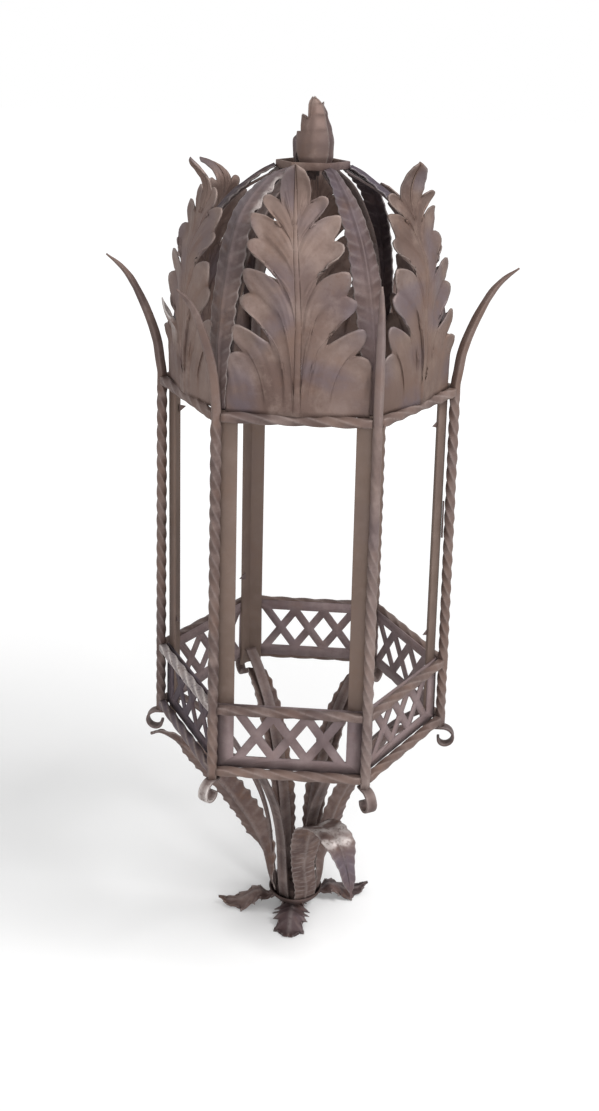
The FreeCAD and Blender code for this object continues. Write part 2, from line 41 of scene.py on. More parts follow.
mm = 0.001
corners = {"right": 0, "back_right": 60, "back_left": 120, "left": 180, "front_left": 240, "front_right": 300}
faces = {"front": 270, "front_right": 330, "back_right": 30, "back": 90, "back_left": 150, "front_left": 210}
outward, sideways, upward = Vector((1, 0, 0)), Vector((0, 1, 0)), Vector((0, 0, 1))


# small helpers for curves and numbers

def ease(value, low, high):
    share = min(1, max(0, (value - low) / (high - low)))
    return share * share * (3 - 2 * share)


def fromTable(table, share):
    for (s0, v0), (s1, v1) in zip(table, table[1:]):
        if share <= s1:
            return v0 + (v1 - v0) * max(0, share - s0) / (s1 - s0)
    return table[-1][1]


def smoothTable(table, share):
    for (s0, v0), (s1, v1) in zip(table, table[1:]):
        if share <= s1:
            return v0 + (v1 - v0) * ease(share, s0, s1)
    return table[-1][1]


def rough(spot, size, seed=0):  # smooth noise of about -1 to 1, size in mm
    return noise.noise(spot / size + Vector((seed * 7.3, seed * 3.1, seed * 5.7)))


def smoothLine(points, count, soft=0.5):  # a line through points, count + 1 places evenly along it
    spots = [Vector(p) for p in points]
    spots = [2 * spots[0] - spots[1]] + spots + [2 * spots[-1] - spots[-2]]
    fine = []
    for a, b, c, d in zip(spots, spots[1:], spots[2:], spots[3:]):
        for k in range(12):
            t = k / 12
            square, cube = t * t, t * t * t
            fine.append(b * (2 * cube - 3 * square + 1) + c * (3 * square - 2 * cube)
                        + (c - a) * soft * (cube - 2 * square + t) + (d - b) * soft * (cube - square))
    fine.append(spots[-2])
    lengths = [0]
    for a, b in zip(fine, fine[1:]):
        lengths.append(lengths[-1] + (b - a).length)
    line, k = [], 0
    for i in range(count + 1):
        want = lengths[-1] * i / count
        while k < len(fine) - 2 and lengths[k + 1] < want:
            k += 1
        gap = lengths[k + 1] - lengths[k] or 1
        line.append(fine[k].lerp(fine[k + 1], min(1, (want - lengths[k]) / gap)))
    return line


def rightOf(line):  # unit normals on the outer side of a line in the r, z plane
    normals = []
    for i in range(len(line)):
        way = line[min(i + 1, len(line) - 1)] - line[max(i - 1, 0)]
        way.normalize()
        normals.append(Vector((way.y, -way.x)))
    return normals


# mesh helpers: every place function answers in mm, and they are scaled once at the end

def startMesh():
    bm = bmesh.new()
    # a layer for wear together with painted highlights on rims and ridges, and one for a blue tinge
    bm.verts.layers.float.new("wear")
    bm.verts.layers.float.new("cool")
    return bm


def addPatch(bm, across, along, place):  # place(i, j) gives the spot, how worn it is together with its painted highlights, and how blue it is
    worn, cool = bm.verts.layers.float["wear"], bm.verts.layers.float["cool"]
    made = bmesh.ops.create_grid(bm, x_segments=across, y_segments=along, size=0.5)["verts"]
    for vert in made:
        i, j = round((vert.co.x + 0.5) * across), round((vert.co.y + 0.5) * along)
        vert.co, vert[worn], vert[cool] = place(i, j)
    return made


def addMesh(bm, part):  # joins one bar to the piece it belongs to
    held = bpy.data.meshes.new("held")
    part.to_mesh(held)
    part.free()
    bm.from_mesh(held)
    bpy.data.meshes.remove(held)


def turnVerts(bm, verts, azimuth):
    bmesh.ops.rotate(bm, verts=verts, cent=(0, 0, 0), matrix=Matrix.Rotation(math.radians(azimuth), 3, "Z"))


def finishPiece(bm, name, nodes, material, thick=0):
    bmesh.ops.remove_doubles(bm, verts=bm.verts, dist=0.02)
    bmesh.ops.dissolve_degenerate(bm, edges=bm.edges, dist=0.01)
    bmesh.ops.scale(bm, vec=(mm, mm, mm), verts=bm.verts)
    mesh = bpy.data.meshes.new(name)
    bm.to_mesh(mesh)
    bm.free()
    mesh.shade_smooth()
    piece = bpy.data.objects.new(name, mesh)
    bpy.context.scene.collection.objects.link(piece)
    mesh.materials.append(material)
    if thick:
        wall = piece.modifiers.new("wall", "SOLIDIFY")
        wall.thickness, wall.offset = thick * mm, -1
    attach(piece, "root")
    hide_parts(*nodes)
    return piece


# materials

def forgedIron(name, look):  # blotches, a blue tinge, rust and flecks, then the wear and the painted highlights of the rims and ridges
    material = bpy.data.materials.new(name)
    material.use_nodes = True
    tree = material.node_tree
    nodes, links = tree.nodes, tree.links
    shader = nodes["Principled BSDF"]
    place = nodes.new("ShaderNodeTexCoord")

    def noiseOf(scale, detail, roughness=0.55):
        node = nodes.new("ShaderNodeTexNoise")
        node.inputs["Scale"].default_value = scale
        node.inputs["Detail"].default_value = detail
        node.inputs["Roughness"].default_value = roughness
        links.new(place.outputs["Object"], node.inputs["Vector"])
        return node.outputs["Fac"]

    def spread(value, low, high, to=1):
        node = nodes.new("ShaderNodeMapRange")
        node.interpolation_type = "SMOOTHSTEP"
        node.inputs["From Min"].default_value = low
        node.inputs["From Max"].default_value = high
        node.inputs["To Max"].default_value = to
        links.new(value, node.inputs["Value"])
        return node.outputs["Result"]

    def sums(kind, first, second):
        node = nodes.new("ShaderNodeMath")
        node.operation = kind
        for socket, value in zip(node.inputs, (first, second)):
            if isinstance(value, float):
                socket.default_value = value
            else:
                links.new(value, socket)
        return node.outputs["Value"]

    def tint(amount, first, second):
        node = nodes.new("ShaderNodeMix")
        node.data_type = "RGBA"
        links.new(amount, node.inputs["Factor"])
        for socket, value in ((node.inputs["A"], first), (node.inputs["B"], second)):
            if isinstance(value, tuple):
                socket.default_value = (*value, 1)
            else:
                links.new(value, socket)
        return node.outputs["Result"]

    blotch = noiseOf(look["blotchScale"], 3)
    patch = noiseOf(look["patchScale"], 5, 0.65)
    tintNoise = noiseOf(look["tintScale"], 4)
    fleck = noiseOf(look["fleckScale"], 3, 0.6)
    grain = noiseOf(look["grainScale"], 2)
    colour = tint(spread(blotch, 0.36, 0.64), look["dark"], look["mid"])
    colour = tint(spread(patch, 0.42, 0.72), colour, look["light"])
    colour = tint(spread(tintNoise, 0.5, 0.7, look["tintAmount"]), colour, look["blue"])
    rust = sums("MULTIPLY", spread(noiseOf(look["rustScale"], 6, 0.7), 0.5, 0.66), look["rustAmount"])
    colour = tint(rust, colour, look["rust"])
    colour = tint(spread(fleck, 0.58, 0.75, look["fleckAmount"]), colour, look["rustDark"])
    cool, worn = nodes.new("ShaderNodeAttribute"), nodes.new("ShaderNodeAttribute")
    cool.attribute_name, worn.attribute_name = "cool", "wear"
    blued = sums("MULTIPLY", cool.outputs["Fac"], spread(patch, 0.25, 0.6))
    colour = tint(sums("MULTIPLY", blued, look["blueAmount"]), colour, look["blue"])
    # the pale colour over the worn layer is partly wear and partly painted highlights
    rubbed = sums("MULTIPLY", worn.outputs["Fac"], spread(fleck, 0.2, 0.55))
    colour = tint(sums("MULTIPLY", rubbed, look["wornAmount"]), colour, look["worn"])
    links.new(colour, shader.inputs["Base Color"])
    dull = sums("ADD", sums("MULTIPLY", patch, look["patchDull"]), look["roughness"])
    dull = sums("SUBTRACT", dull, sums("MULTIPLY", rubbed, look["rubbedShine"]))
    links.new(dull, shader.inputs["Roughness"])
    shader.inputs["Metallic"].default_value = look["metallic"]
    shader.inputs["Specular IOR Level"].default_value = look["specular"]
    hammered = nodes.new("ShaderNodeBump")
    hammered.inputs["Strength"].default_value = look["hammer"]
    hammered.inputs["Distance"].default_value = look["hammerDepth"]
    links.new(noiseOf(look["hammerScale"], 2), hammered.inputs["Height"])
    gritty = nodes.new("ShaderNodeBump")
    gritty.inputs["Strength"].default_value = look["grit"]
    gritty.inputs["Distance"].default_value = look["gritDepth"]
    links.new(sums("ADD", fleck, sums("MULTIPLY", grain, 0.5)), gritty.inputs["Height"])
    links.new(hammered.outputs["Normal"], gritty.inputs["Normal"])
    links.new(gritty.outputs["Normal"], shader.inputs["Normal"])
    return material


baseLook = {  # colours, sizes of the patterns, how much of each shows, and the surface; depths in metres
    "dark": (0.115, 0.074, 0.063), "mid": (0.162, 0.109, 0.091), "light": (0.205, 0.146, 0.124),
    "blue": (0.105, 0.086, 0.108), "rust": (0.165, 0.088, 0.055), "rustDark": (0.072, 0.042, 0.034),
    # worn is the pale colour of wear and of the painted highlights on rims and ridges
    "worn": (0.52, 0.47, 0.45), "blotchScale": 7, "patchScale": 34, "tintScale": 9, "rustScale": 22,
    "fleckScale": 260, "grainScale": 900, "hammerScale": 85,
    "blueAmount": 0.8, "tintAmount": 0.25, "rustAmount": 0.2, "fleckAmount": 0.16, "wornAmount": 0.8,
    "roughness": 0.46, "patchDull": 0.3, "rubbedShine": 0.18, "metallic": 0.35, "specular": 0.15,
    "hammer": 0.3, "hammerDepth": 0.0012, "grit": 0.3, "gritDepth": 0.0005,
}


def ironLook(name, **changes):
    return forgedIron(name, {**baseLook, **changes})


barIron = ironLook("barIron", dark=(0.095, 0.065, 0.06), light=(0.2, 0.148, 0.133), tintAmount=0.15)
litBarIron = ironLook("litBarIron", dark=(0.13, 0.093, 0.086), mid=(0.2, 0.146, 0.13),
                      light=(0.25, 0.192, 0.175))
strapIron = ironLook("strapIron", dark=(0.078, 0.053, 0.049), mid=(0.122, 0.085, 0.078),
                     light=(0.175, 0.129, 0.118))
angleIron = ironLook("angleIron", dark=(0.145, 0.103, 0.085), mid=(0.169, 0.121, 0.1),
                     light=(0.188, 0.137, 0.115), tintAmount=0.1, fleckAmount=0, rustAmount=0.15,
                     hammer=0.12, grit=0.1)
sheetIron = ironLook("sheetIron", dark=(0.175, 0.128, 0.126), mid=(0.22, 0.165, 0.165),
                     light=(0.258, 0.2, 0.198), tintAmount=0.3, hammer=0.2)
# painted shade: a much darker copy of the sheet iron for the front left gallery panel, which faces away from
# the key lamp
darkSheet = ironLook("darkSheet", dark=(0.06, 0.045, 0.055), mid=(0.09, 0.067, 0.077),
                     light=(0.135, 0.104, 0.114))
leafIron = ironLook("leafIron", mid=(0.187, 0.13, 0.11), light=(0.232, 0.169, 0.146), tintAmount=0.3)
# painted shade: a darker copy of the leaf iron for the front right crown leaf, which the key lamp lights more
# strongly
litLeafIron = ironLook("litLeafIron", dark=(0.095, 0.061, 0.051), mid=(0.152, 0.102, 0.084),
                       light=(0.19, 0.135, 0.112))
budIron = ironLook("budIron", dark=(0.14, 0.096, 0.084), mid=(0.195, 0.138, 0.118),
                   light=(0.24, 0.179, 0.157))
rustyLeafIron = ironLook("rustyLeafIron", dark=(0.088, 0.057, 0.052), mid=(0.142, 0.095, 0.083),
                         light=(0.195, 0.14, 0.124), rustAmount=0.4, fleckAmount=0.3, grit=0.5)
# painted shade: a darker, mauve copy of the rusty leaf iron for the feet in the contact shadow under the hub
footIron = ironLook("footIron", dark=(0.042, 0.027, 0.028), mid=(0.075, 0.048, 0.048),
                    light=(0.12, 0.083, 0.08), rustAmount=0.3, fleckAmount=0.25, grit=0.5)
# painted shade: darker copies of the rib iron for ribs whose faces lie in shade, the second also bluer for
# the front left one
darkRib = ironLook("darkRib", dark=(0.038, 0.025, 0.026), mid=(0.06, 0.04, 0.04),
                   light=(0.098, 0.069, 0.069), blue=(0.078, 0.065, 0.086), tintAmount=0.5, rustAmount=0.25)
blueRib = ironLook("blueRib", dark=(0.062, 0.042, 0.039), mid=(0.098, 0.068, 0.062),
                   light=(0.145, 0.104, 0.095), blue=(0.14, 0.119, 0.135), rustAmount=0.25)
ribIron = ironLook("ribIron", dark=(0.078, 0.051, 0.047), mid=(0.115, 0.077, 0.07),
                   light=(0.155, 0.11, 0.099), tintAmount=0.4, rustAmount=0.25)
fixingSteel = ironLook("fixingSteel", dark=(0.045, 0.03, 0.028), mid=(0.075, 0.05, 0.045),
                       light=(0.11, 0.078, 0.07), rustAmount=0.4)
print("materials made")


# crown leaves: lobes between the grooves of an acanthus leaf

crownLeaf = {
    "grooves": {  # lines from the base or the midrib out to each notch, u and z in mm
        "edge": [(75.5, 734), (76.2, 756), (76, 778)],
        "a": [(34.8, 734), (36, 763), (40, 778), (48, 790), (58.5, 797)],
        "1": [(15.5, 734), (15, 752), (17, 771), (20, 783), (25, 797), (28.5, 807)],
        "b": [(4.2, 734), (6, 790), (8, 812), (13, 826), (24, 838), (39, 853), (49, 857)],
        "2": [(3.2, 824), (6, 841), (11.5, 855), (18.5, 866.5)],
        "c": [(2.8, 873), (9, 887), (22, 900), (38, 909)],
        "3": [(2.5, 900), (6, 910), (11, 917), (17, 922)],
        "4": [(2.2, 920), (5, 930), (9.5, 938), (14.3, 943)],
        "top": [(2.2, 920), (1.4, 950), (0, 981)],
    },
    "lobes": [  # lower groove, upper groove, outline between their ends, how far the band swells
        ("edge", "a", [(76, 778), (75, 789), (71, 794), (64, 797), (58.5, 797)], 3.2),
        ("a", "1", [(58.5, 797), (63, 803), (68, 811), (69, 819), (67, 824), (61, 824.5), (52, 821),
                    (42, 815.5), (33, 810), (28.5, 807)], 3.4),
        ("1", "b", [(28.5, 807), (32, 818), (37, 825), (46, 833), (56, 841), (59.5, 847), (59, 852),
                    (54, 855), (49, 857)], 2.8),
        ("b", "2", [(49, 857), (51, 861), (54, 868), (54.5, 876), (52, 880), (44, 880), (36, 878),
                    (27, 874), (21, 869), (18.5, 866.5)], 3.2),
        ("2", "c", [(18.5, 866.5), (22, 876), (28, 883), (36, 890), (45, 895), (49, 900), (48, 905),
                    (43, 908), (38, 909)], 2.8),
        ("c", "3", [(38, 909), (41, 914), (44.5, 920), (46, 928), (44.5, 932), (38, 932), (29, 930),
                    (21, 926), (17, 922)], 2.6),
        ("3", "4", [(17, 922), (20, 928), (26, 934), (31, 940), (33, 945), (31, 950), (25, 951),
                    (18, 947), (14.3, 943)], 2.2),
        ("4", "top", [(14.3, 943), (15, 947), (15.5, 955), (13.5, 967), (9, 976), (0, 981)], 1.6),
    ],
    "midrib": [((4.2, 734), (3.2, 824)), ((3.2, 824), (2.8, 873)), ((2.8, 873), (2.5, 900)),
               ((2.5, 900), (2.2, 920))],
    "spine": [(152, 734), (151, 817), (145, 878), (132, 913), (121, 950), (130, 981)],
    "bentSpine": [(151, 733.9), (151, 811.7), (144, 861.3), (126, 904.5), (104, 932), (83.3, 949.9)],
    "foot": 732, "root": 734, "height": 247, "steps": 252, "crease": 0.135, "thick": 1.8,
    "bandAcross": 18, "bandAlong": 24, "midribCells": 6, "rimSoft": 0.1,
    "wobbles": [(1.6, 42, 0), (0.25, 10, 9)], "wobbleFrom": 770,  # depth and size of dents, full above
    "leanBetween": (815, 952), "slimBetween": (925, 965), "twistBetween": (922, 955),
    # lean of the tip to the right, curl of the lobes outwards, the start and the radius of the tip's bend,
    # how much the tip narrows, its twist, and a lobe with its own curl and paleness
    "leaves": {
        "front": {"lean": -8, "curl": 3.2, "seed": 1},
        "front_right": {"lean": 6, "curl": 3, "seed": 2, "twist": 0.32},
        "front_left": {"lean": -5, "curl": 3.6, "seed": 3, "bend": (948, 52), "slim": 0.5,
                       "odd": {"a-1": (13, 2.8)}},
        "back_left": {"lean": 2, "curl": 3, "seed": 4, "bend": (940, 27), "slim": 0.25},
        "back": {"lean": 4, "curl": 2.6, "seed": 5},
        "back_right": {"lean": -3, "curl": 3, "seed": 6, "spine": "bentSpine", "height": 216},
    },
}


lobeRelief = {  # rises in mm, places as shares of the way from the groove out to the rim
    # rub sets how pale the lobes' rims and swells are: partly wear, partly painted highlights
    "swell": 0.62, "fullWidth": 18, "curlRange": (0.5, 1.3), "rub": 0.3, "rubRange": (0.4, 1), "cool": 0.7,
    "dent": 0.6, "dentAt": 0.8, "dentLength": 0.12, "veins": 4, "vein": 0.22, "groove": 0.5, "midrib": 0.4,
}


def spineOf(leaf):  # radius and height at every mm of the flat leaf's height
    root = crownLeaf["root"]
    line = smoothLine([Vector((z, r)) for r, z in crownLeaf[leaf.get("spine", "spine")]], 160)
    share = leaf.get("height", crownLeaf["height"]) / crownLeaf["height"]
    found, k = [], 0
    for step in range(crownLeaf["steps"]):
        z = root + step * share
        while k < len(line) - 2 and line[k + 1].x < z:
            k += 1
        low, high = line[k], line[k + 1]
        radius, height = low.y + (high.y - low.y) * (z - low.x) / (high.x - low.x), z
        if "bend" in leaf and root + step > leaf["bend"][0]:
            start, around = leaf["bend"]
            turn = (root + step - start) / around
            radius += around * (1 - math.cos(turn))
            height = start + around * math.sin(turn)
        found.append((radius, height))
    return found


def onCrownLeaf(u, z, rise, leaf):  # u and z on the flat leaf, rise over it
    root, line = crownLeaf["root"], leaf["line"]

    def flat(u, z):
        step = min(crownLeaf["steps"] - 2, max(0, z - root))
        k = int(step)
        (r0, z0), (r1, z1) = line[k], line[k + 1]
        radius, height = r0 + (r1 - r0) * (step - k), z0 + (z1 - z0) * (step - k) + min(0, z - root)
        side = u * (1 - leaf.get("slim", 0) * ease(z, *crownLeaf["slimBetween"]))
        side += leaf["lean"] * ease(z, *crownLeaf["leanBetween"])
        return Vector((radius - crownLeaf["crease"] * math.sqrt(u * u + 9), side, height))
    here = flat(u, z)
    out = (flat(u + 1, z) - here).cross(flat(u, z + 1) - here).normalized()
    wobble = 0
    for high, size, apart in crownLeaf["wobbles"]:
        wobble += high * rough(Vector((u, z, apart)), size, leaf["seed"])
    return here + out * (rise + wobble * ease(z, root, crownLeaf["wobbleFrom"]))


def twistOf(leaf, z):
    return leaf.get("twist", 0) * ease(z, *crownLeaf["twistBetween"])


def footOf(z):  # the lowest row goes on down to the foot
    return crownLeaf["foot"] if z < crownLeaf["root"] + 1 else z


def addLobe(bm, lobe, leaf, side):
    lower, upper, outline, swell = lobe
    relief = lobeRelief
    nAcross, nAlong = crownLeaf["bandAcross"], crownLeaf["bandAlong"]
    low = smoothLine(crownLeaf["grooves"][lower], nAlong)
    high = smoothLine(crownLeaf["grooves"][upper], nAlong)
    rim = smoothLine(outline, nAcross, crownLeaf["rimSoft"])
    chance = random.Random(f"{leaf['seed']}{lower}{side}")
    curl = leaf["curl"] * chance.uniform(*relief["curlRange"])
    rub = relief["rub"] * chance.uniform(*relief["rubRange"])
    if f"{lower}{side}" in leaf.get("odd", {}):
        curl, rub = leaf["odd"][f"{lower}{side}"]

    def place(i, j):
        i = nAcross - i if side > 0 else i
        s, t = i / nAcross, j / nAlong
        spot = low[j].lerp(high[j], s) + t * (rim[i] - low[-1].lerp(high[-1], s))
        if j == 0:
            spot.y = footOf(spot.y)
        width = (high[j] - low[j]).length
        body = 1 - abs(2 * s - 1) ** 2.2
        rise = relief["swell"] * swell * min(1, width / relief["fullWidth"]) * body
        rise *= 0.2 + 0.8 * ease(t, 0, 0.4)
        rise -= relief["dent"] * body * math.exp(-((t - relief["dentAt"]) / relief["dentLength"]) ** 2)
        rise += curl * body ** 0.5 * (0.4 + 0.6 * s) * ease(t, 0.7, 1.0) ** 1.5
        rise += relief["vein"] * body * math.cos(2 * math.pi * s * relief["veins"]) * ease(t, 0.05, 0.4)
        rise -= relief["groove"] * (1 - body) * ease(t, 0.1, 0.7) * ease(1 - t, 0, 0.25)
        rise += side * spot.x * twistOf(leaf, spot.y)
        # rims and swells paled: partly wear, partly painted highlights
        wear = rub * max(ease(t, 0.93, 1) * ease(body, 0.05, 0.5), 0.35 * body * body * ease(t, 0.4, 0.9))
        bluish = rough(Vector((spot.x, spot.y, side * 40)), 45, leaf["seed"] + 3)
        return onCrownLeaf(side * spot.x, spot.y, rise, leaf), wear, relief["cool"] * ease(bluish, 0.05, 0.5)
    addPatch(bm, nAcross, nAlong, place)


def addMidrib(bm, start, end, rows, leaf):  # between two (half width, height) pairs, or up the line start
    cells = crownLeaf["midribCells"]

    def place(i, j):
        if isinstance(start, tuple):
            half, z = (start[k] + (end[k] - start[k]) * j / rows for k in (0, 1))
        else:
            half, z = start[j]
        a = 2 * i / cells - 1
        z = footOf(z)
        rise = lobeRelief["midrib"] * (1 - a * a) + a * half * twistOf(leaf, z)
        return onCrownLeaf(a * half, z, rise, leaf), 0, 0
    addPatch(bm, cells, rows, place)


for name, leaf in crownLeaf["leaves"].items():
    leaf["line"] = spineOf(leaf)
    bm = startMesh()
    for side in (1, -1):
        for lobe in crownLeaf["lobes"]:
            addLobe(bm, lobe, leaf, side)
    for start, end in crownLeaf["midrib"]:
        addMidrib(bm, start, end, crownLeaf["bandAcross"], leaf)
    addMidrib(bm, smoothLine(crownLeaf["grooves"]["top"], crownLeaf["bandAlong"]), None,
              crownLeaf["bandAlong"], leaf)
    turnVerts(bm, bm.verts, faces[name])
    # the front right leaf takes the darker painted-shade copy
    finishPiece(bm, "crownLeaf_" + name, ["crown_leaf_" + name],
                litLeafIron if name == "front_right" else leafIron, crownLeaf["thick"])
print("crown leaves made")


# long serrated leaves: dome ribs, basket leaves and feet

leafRelief = {  # a runs from -1 to 1 across a leaf, and these are shares of its half width, or mm
    "ribWidth": 0.1, "grooveAt": 0.22, "grooveWidth": 0.08, "grooveDepth": 0.5, "raggedSize": 11,
    # the rims, midrib and vein crests are paled: partly wear, partly painted highlights
    "buckleSize": 26, "rimWear": 0.4, "ridgeWear": 0.22, "ridgeWidth": 0.12, "veinWear": 0.16,
}


def serratedLeaf(bm, line, normals, leaf):
    rows, cells = len(line) - 1, leaf["cells"]
    relief = leafRelief

    def place(i, j):
        share, a = j / rows, 2 * i / cells - 1
        lag = share * leaf["teeth"] - leaf["slant"] * abs(a)
        tooth = lag % 1.0
        notch = 0.5 - 0.5 * math.cos(2 * math.pi * tooth ** 1.6) if leaf["round"] else tooth ** 2
        half = smoothTable(leaf["width"], share) * leaf["half"]
        reach = a * half * (1 - leaf["depth"] * (1 - notch) * abs(a) ** 4)
        torn = rough(Vector((share * 400, 7 * a, 0)), relief["raggedSize"], leaf["seed"])
        reach += leaf["ragged"] * torn * abs(a) ** 3
        reach *= 1 + math.copysign(leaf.get("uneven", 0), a) * ease(share, 0.08, 0.3)
        fold = leaf["fold"] * half * abs(a) * leaf.get("foldAt", lambda s: 1)(share)
        beside = (abs(a) - relief["grooveAt"]) / relief["grooveWidth"]
        rise = leaf["rib"] * math.exp(-(a / relief["ribWidth"]) ** 2)
        rise -= relief["grooveDepth"] * leaf["rib"] * math.exp(-beside ** 2)
        rise += leaf["vein"] * math.cos(2 * math.pi * lag) * abs(a) ** 0.8 * ease(share, 0.02, 0.1)
        rise += leaf["buckle"] * rough(Vector((share * 300, a * half, 3)), relief["buckleSize"], leaf["seed"])
        rise += leaf.get("lift", lambda s, a: 0)(share, a)
        turn = math.radians(fromTable(leaf.get("turns", [(0, 0), (1, 0)]), share))  # twist about its own line
        flat = Vector((normals[j].x, 0, normals[j].y))
        out = flat * math.cos(turn) + sideways * math.sin(turn)
        side = sideways * math.cos(turn) - flat * math.sin(turn)
        shift = leaf.get("shift", 0) * ease(share, 0.03, 0.25) + leaf.get("drift", 0) * ease(share, 0.5, 0.8)
        spot = Vector((line[j].x, shift, line[j].y))
        spot += out * (rise - fold) + side * reach
        spot.z = max(spot.z, leaf.get("lowest", 0))
        # paler rims, midrib and vein crests: wear together with painted highlights
        wear = max(relief["rimWear"] * ease(abs(a), 0.88, 1),
                   leaf.get("ridge", relief["ridgeWear"]) * math.exp(-(a / relief["ridgeWidth"]) ** 2),
                   relief["veinWear"] * ease(math.cos(2 * math.pi * lag), 0.4, 1) * abs(a),
                   leaf.get("rub", lambda s, a: 0)(share, a))
        return spot, wear, leaf.get("cool", lambda s, a: 0)(share, a)
    return addPatch(bm, cells, rows, place)


domeRib = {
    "close": [(158.8, 732.8), (155.9, 784.5), (146.5, 841.4), (124.3, 895.4), (91.8, 936.5), (59.1, 961.4),
              (41.9, 970.8)],
    "wide": [(162.2, 734), (166.4, 767.9), (164.8, 813.1), (153.2, 872.1), (129.1, 929.6), (83.2, 961.7),
             (41.2, 970.8)],
    "half": 17.4, "fold": 0.3, "teeth": 21, "slant": 0.7, "depth": 0.08, "round": True, "ragged": 0.4,
    "rib": 0.7, "vein": 0.5, "buckle": 0.8, "cells": 22, "rows": 190, "thick": 1.7, "seed": 11,
    "width": [(0, 0.3), (0.12, 0.55), (0.3, 0.92), (0.5, 1), (0.75, 0.8), (1, 0.42)],
    "wideOnes": ["front_left", "back_right", "back_left"], "ridge": 0.04,
    "materials": {"front_right": ribIron, "front_left": blueRib},  # the front left one a darker, bluer painted-shade copy; the others the darkest painted-shade copy
    "crumpled": {  # the free edge of the front left one, bent to and fro and rubbed pale
        "buckle": 1.2,
        "rub": lambda s, a: 0.7 * ease(s, 0.62, 0.7) * (1 - ease(s, 0.86, 0.94)) * ease(a, 0.5, 0.9),
        "lift": lambda s, a: 2.2 * ease(a, 0.4, 1) * math.sin(s * 75) * ease(s, 0.6, 0.68),
    },
    "cool": lambda s, a: ease(s, 0.35, 0.75) * (0.6 - 0.4 * a),
}
for k, (name, azimuth) in enumerate(corners.items()):
    line = smoothLine(domeRib["wide" if name in domeRib["wideOnes"] else "close"], domeRib["rows"])
    rib = {**domeRib, "seed": domeRib["seed"] + k, **(domeRib["crumpled"] if name == "front_left" else {})}
    bm = startMesh()
    serratedLeaf(bm, line, rightOf(line), rib)
    turnVerts(bm, bm.verts, azimuth)
    finishPiece(bm, "domeRib_" + name, ["dome_rib_" + name],
                domeRib["materials"].get(name, darkRib), domeRib["thick"])
print("dome ribs made")


# bars and straps: a rounded section carried along a line and turned

def evenly(much):  # a table of wear that is the same all along
    return [(0, much), (1, much)]


def sweptBar(bm, stations, around, rub, cool=0):
    rows = len(stations) - 1

    def place(i, j):
        centre, ahead, across, halfA, halfB, turn, power = stations[j]
        angle = 2 * math.pi * (i % around) / around
        c, s = math.cos(angle), math.sin(angle)
        a = math.copysign(abs(c) ** (2 / power), c) * halfA
        b = math.copysign(abs(s) ** (2 / power), s) * halfB
        crest = ease((math.hypot(a / halfA, b / halfB) - 1) / 0.3, 0.25, 0.85)
        t = math.radians(turn)
        spot = centre + ahead * (a * math.cos(t) - b * math.sin(t))
        spot += across * (a * math.sin(t) + b * math.cos(t))
        spot += (spot - centre).normalized() * 0.22 * rough(spot, 9, 5)
        # crests paled: wear together with painted highlights along the ridges
        much = fromTable(rub, j / rows)
        return spot, much * crest + max(0, much - 0.5), cool * (1 - crest)
    made = addPatch(bm, around, rows, place)
    bmesh.ops.remove_doubles(bm, verts=made, dist=0.02)
    bmesh.ops.holes_fill(bm, edges=[edge for edge in bm.edges if edge.is_boundary], sides=0)


twistedBar = {
    "half": 5.15, "power": 4.6, "around": 24, "plainShare": 0.96, "rub": 0.16,
    "foot": (180, 300), "top": (169.5, 727),  # the posts' axes, radius and height
    # from, to and quarter turns of each length of a post
    "bays": [(290, 307, 0), (307, 374, 4), (374, 388, 0), (388, 720, 18), (720, 727, 0)],
    "quarterRows": 9, "startTurn": 45, "fade": 2.1, "fadeBetween": (560, 620),
    "levels": {"crown_bars": (727, 169.5), "gallery_upper_bars": (381, 178.008),
               "gallery_lower_bars": (300, 180)},
    # where a level bar ends and where its twist ends, both from the corner
    "levelShort": 5.5, "levelPlain": 13.8, "levelQuarters": 5, "levelRows": 10, "sag": 0.8,
    # how far out, how far up, and the side of the bar there
    "spike": [(0, 0.06, 1), (0.03, 0.16, 1), (0.09, 0.34, 1), (0.26, 0.56, 0.92), (0.5, 0.78, 0.74),
              (0.72, 0.905, 0.52), (1, 1, 0.17)],
    "spikeRise": 141, "spikeReach": 60.5, "uprightReach": -4.5, "spikeRows": 40, "spikePower": 3.6,
    "rubbed": {("gallery_upper_bars", 210): 0.95, ("gallery_lower_bars", 210): 0.35},  # painted highlights along the ridges of the front left gallery bars
}


def postRadius(z):
    (footRadius, footLevel), (topRadius, topLevel) = twistedBar["foot"], twistedBar["top"]
    return footRadius - (footRadius - topRadius) * (z - footLevel) / (topLevel - footLevel)


